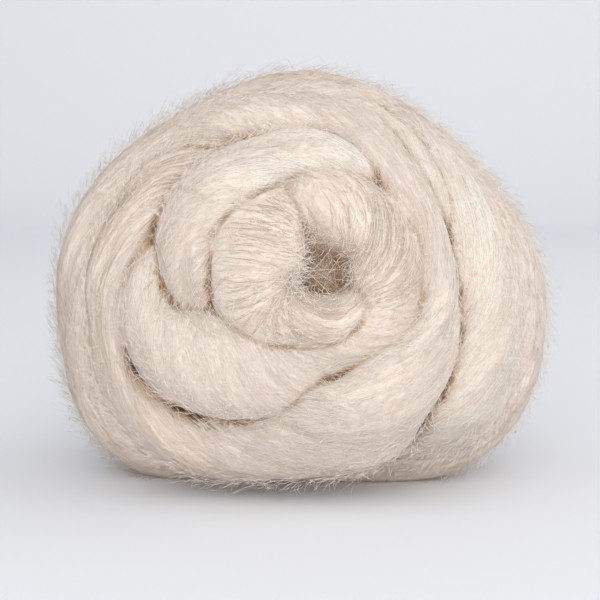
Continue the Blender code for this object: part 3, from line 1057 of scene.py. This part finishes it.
LOOSE_FIBRES = (
    Loose("stray_fibres", 2500, 2.5, STRAY_TURN, 0, (0, 0), 1,
          6, (12, 28), 0.15, (0.1, 0.35), (0.5, 0.9), (0, 0.7), 0),
    Loose("crease_fibres", 1200, 20, CREASE_TURN, 0.3, (0, 0.5), 1,
          5, (8, 16), 0.12, (0, 0.2), (0.5, 0.8), (0.4, 1), 0),
    Loose("halo_fibres_1", 19000, 2.2, HALO_TURN, 0, (0, 0.9), 0.25,
          3, (3, 6), 0.6, (-0.5, 0.1), (0.9, 1.3), (0.1, 0.7), 0.3),
    Loose("halo_fibres_2", 19000, 2.2, HALO_TURN, 0, (0.3, 2.2), 0.25,
          3, (3, 7), 0.6, (-0.6, 0.1), (0.6, 0.9), (0.1, 0.6), 0.4),
)

for kind in LOOSE_FIBRES:
    starts, ways = stray_starts(kind)
    paths, normals = stray_paths(kind, starts, ways)
    radii = FIBRE_RADIUS * rng.uniform(*kind.thickness, len(paths))
    tints = rng.uniform(*kind.tints, len(paths))
    add_fibres(kind.name, paths, normals, radii, tints, shut_in_at(paths, STRAY_FADE), kind.lit)


# Wisps: thin bundles of fibres that have worked loose and lie over the turns. A row gives where one starts
# and ends on the face, how far it bows aside, its width at either end, and the number and tint of its fibres.
Wisp = namedtuple("Wisp", "x z to_x to_z bow width to_width fibres tint")

WISPS = (
    Wisp(-32, 78, -26, 56, -3, 2, 3, 60, 0.35),
    Wisp(-27, 72, -16, 50, -3, 1, 3, 50, 0.2),
    Wisp(-36, 60, -17, 52, -2, 2, 4, 60, 0.3),
    Wisp(-46, 82, -38, 62, 2, 1, 3, 40, 0.3),
    Wisp(-36, 93, -25, 88, 1, 0.5, 2, 25, 0.2),
    Wisp(-7, 123, 12, 115, 1, 2, 3, 80, 0.15),
    Wisp(20, 95, 18, 70, 3, 2, 3, 50, 0.3),
    Wisp(2, 66, 16, 62, -3, 1, 3, 25, 0.5),
    Wisp(5, 76, 14, 70, 2, 1, 2, 20, 0.6),
    Wisp(50, 30, 65, 43, -4, 0.5, 2, 20, 0.1),
    Wisp(31, 17, 56, 23, 2, 1, 7, 70, 0.3),
    Wisp(30, 16, 54, 12, 2, 1, 6, 60, 0.5),
    Wisp(44, 74, 40, 50, 2, 1, 3, 50, 0.1),
    Wisp(-52, 44, -40, 28, -2, 1, 4, 50, 0.2),
    Wisp(4, 40, 24, 45, 2, 1, 4, 50, 0.2),
    Wisp(-24, 22, 2, 32, -2, 2, 4, 60, 0.3),
)
WISP_LIFT = (0.1, 0.7)
WISP_STATIONS = 7
WISP_THICKNESS = (0.5, 0.9)
WISP_LANES = 0.5
WISP_REACHES = (-0.1, 1.1)
WISP_WAVER = 0.06
WISP_TINTS_VARY = 0.1
IN_FRONT = -0.2

paths, normals, tints = [], [], []
for wisp in WISPS:
    chord = Vector((wisp.to_x - wisp.x, wisp.to_z - wisp.z))
    aside = Vector((-chord.y, chord.x)).normalized()
    for _ in range(wisp.fibres):
        lane = rng.normal(0.0, WISP_LANES)
        begin, end = sorted(rng.uniform(*WISP_REACHES, 2))
        lift = rng.uniform(*WISP_LIFT) * MM
        for station in range(WISP_STATIONS):
            share = begin + (end - begin) * station / (WISP_STATIONS - 1)
            width = wisp.width + (wisp.to_width - wisp.width) * share
            offset = lane * width + 4.0 * wisp.bow * share * (1.0 - share) + rng.normal(0.0, WISP_WAVER)
            spot = Vector((wisp.x, wisp.z)) + chord * share + aside * offset
            front = Vector((spot.x * MM + shift.x, IN_FRONT, spot.y * MM))
            met, _, face, _ = tree.ray_cast(front, Vector((0.0, 1.0, 0.0)))
            out = Vector(face_normals[face])
            rise = lift * math.sin(math.pi * station / (WISP_STATIONS - 1))
            paths.append(met + out * (rise + LEAST_HEIGHT))
            normals.append(out)
        tints.append(wisp.tint + rng.normal(0.0, WISP_TINTS_VARY))
paths = np.array(paths).reshape(-1, WISP_STATIONS, 3)
normals = np.array(normals).reshape(-1, WISP_STATIONS, 3)
radii = FIBRE_RADIUS * rng.uniform(*WISP_THICKNESS, len(paths))
add_fibres("wisp_fibres", paths, normals, radii, np.array(tints), shut_in_at(paths, STRAY_FADE))


# The fuzz in the hollow: the roving's first end, which lies behind the turns as a loose tangle of curly
# fibres. Painted shade makes them brownest deep down and in a ring along the hollow's rim, and leaves them
# pale outside it.
FUZZ_FIBRES = 2600
FUZZ_REACH = 12.0
FUZZ_FRONT = 1.5
FUZZ_BACK = 7.0
FUZZ_LENGTHS = (6.0, 14.0)
FUZZ_THICKNESS = (0.4, 0.7)
FUZZ_CURL = 0.3
FUZZ_WAVER = 0.15
FUZZ_DIP = 0.25
FUZZ_TINTS = (0.3, 1.0)
FUZZ_LEAST_SHADE = 0.25
FUZZ_MOST_SHADE = 0.8
FUZZ_SHADE_RING = 6.0
FUZZ_SHADE_RING_WIDTH = 3.0
FUZZ_SHADED_WITHIN = 10.0
FUZZ_OUTER_SHADE_SHARE = 0.15

reach = FUZZ_REACH * np.sqrt(rng.uniform(0.0, 1.0, FUZZ_FIBRES))
turn = rng.uniform(0.0, math.tau, FUZZ_FIBRES)
share = rng.uniform(0.0, 1.0, FUZZ_FIBRES)
front = -face_depth(HOLLOW_X, HOLLOW_Z)
x = HOLLOW_X + reach * np.sin(turn)
y = front + FUZZ_FRONT + (FUZZ_BACK - FUZZ_FRONT) * share
z = HOLLOW_Z + reach * np.cos(turn)
heading = rng.uniform(0.0, math.tau, FUZZ_FIBRES)
curl = rng.normal(0.0, FUZZ_CURL, FUZZ_FIBRES)
dip = rng.normal(0.0, FUZZ_DIP, FUZZ_FIBRES)
step = rng.uniform(*FUZZ_LENGTHS, FUZZ_FIBRES) / (FIBRE_STATIONS - 1)
paths = []
for station in range(FIBRE_STATIONS):
    paths.append(np.stack([x, y, z], axis=1))
    x = x + step * np.cos(heading)
    z = z + step * np.sin(heading)
    y = y + step * dip * math.cos(math.pi * station / (FIBRE_STATIONS - 1))
    heading = heading + curl * step + rng.normal(0.0, FUZZ_WAVER, FUZZ_FIBRES)
paths = in_place(np.stack(paths, axis=1))
normals = np.zeros_like(paths)
normals[..., 1] = -1.0
radii = FIBRE_RADIUS * rng.uniform(*FUZZ_THICKNESS, FUZZ_FIBRES)
tints = rng.uniform(*FUZZ_TINTS, FUZZ_FIBRES)
# Painted shade: more the further back a fibre lies and in a ring along the hollow's rim, less outside the
# hollow
apart = np.hypot((paths[..., 0] - shift.x) / MM - HOLLOW_X, paths[..., 2] / MM - HOLLOW_Z)
shade_ring = np.exp(-(((apart - FUZZ_SHADE_RING) / FUZZ_SHADE_RING_WIDTH) ** 2))
painted_shades = FUZZ_LEAST_SHADE + (FUZZ_MOST_SHADE - FUZZ_LEAST_SHADE) * (0.5 * share[:, None] + 0.5 * shade_ring)
painted_shades *= np.clip(FUZZ_SHADED_WITHIN - apart, FUZZ_OUTER_SHADE_SHARE, 1.0)
add_fibres("hollow_fuzz", paths, normals, radii, tints, painted_shades)


# Floor and backdrop: one sheet of pale paper, swept up behind the ball in a wide bend
FLOOR_HALF_WIDTH = 2.0
FLOOR_FRONT = -1.2
FLOOR_BACK = 0.85
BEND_RADIUS = 0.25
BACKDROP_HEIGHT = 1.6
BEND_STEPS = 24


def draw_out(bm, edge, way):
    """Draw a strip of the sheet out of an edge, and give the strip's far edge."""
    made = bmesh.ops.extrude_edge_only(bm, edges=[edge])["geom"]
    bmesh.ops.translate(bm, verts=[item for item in made if isinstance(item, bmesh.types.BMVert)], vec=way)
    return next(item for item in made if isinstance(item, bmesh.types.BMEdge))


bm = bmesh.new()
front_left = bm.verts.new((-FLOOR_HALF_WIDTH, FLOOR_FRONT, 0.0))
front_right = bm.verts.new((FLOOR_HALF_WIDTH, FLOOR_FRONT, 0.0))
edge = draw_out(bm, bm.edges.new((front_left, front_right)), (0.0, FLOOR_BACK - FLOOR_FRONT, 0.0))
spun = bmesh.ops.spin(
    bm,
    geom=[edge, *edge.verts],
    cent=(0.0, FLOOR_BACK, BEND_RADIUS),
    axis=(1.0, 0.0, 0.0),
    angle=0.5 * math.pi,
    steps=BEND_STEPS,
)
edge = next(item for item in spun["geom_last"] if isinstance(item, bmesh.types.BMEdge))
draw_out(bm, edge, (0.0, 0.0, BACKDROP_HEIGHT))
bmesh.ops.recalc_face_normals(bm, faces=bm.faces[:])
floor_mesh = bpy.data.meshes.new("floor")
bm.to_mesh(floor_mesh)
bm.free()
floor_mesh.shade_smooth()
paper, _ = add_material("pale_paper", Base_Color=srgb("#e4e5e8"), Roughness=0.8)
floor_mesh.materials.append(paper)
floor = add_object("floor", floor_mesh)


# Studio light: soft boxes on the right, in front, overhead and weakly on the left, one for the backdrop, and
# pale light all round
BALL_MIDDLE = (0.0, 0.0, 0.06)


def soft_box(name, place, aim, size, watts):
    """Square soft box that looks at a point."""
    light = bpy.data.lights.new(name, "AREA")
    light.shape = "SQUARE"
    light.size = size
    light.energy = watts
    box = add_object(name, light)
    box.location = place
    box.rotation_euler = (Vector(aim) - Vector(place)).to_track_quat("-Z", "Y").to_euler()


soft_box("right_soft_box", (1.0, -0.10, 0.45), BALL_MIDDLE, size=1.0, watts=3.9)
soft_box("front_soft_box", (0.0, -0.90, 0.32), BALL_MIDDLE, size=0.6, watts=4.5)
soft_box("left_soft_box", (-0.90, -0.35, 0.50), BALL_MIDDLE, size=0.9, watts=0.5)
soft_box("top_soft_box", (0.0, -0.45, 1.05), BALL_MIDDLE, size=1.2, watts=2.8)
soft_box("backdrop_soft_box", (0.0, 0.30, 0.90), (0.0, 1.10, 0.60), size=0.8, watts=1.6)
world = bpy.data.worlds.new("pale_room")
world.use_nodes = True
background = world.node_tree.nodes["Background"]
background.inputs["Color"].default_value = srgb("#eef0f4")
background.inputs["Strength"].default_value = 0.67
bpy.context.scene.world = world
bpy.context.scene.view_settings.view_transform = "Standard"
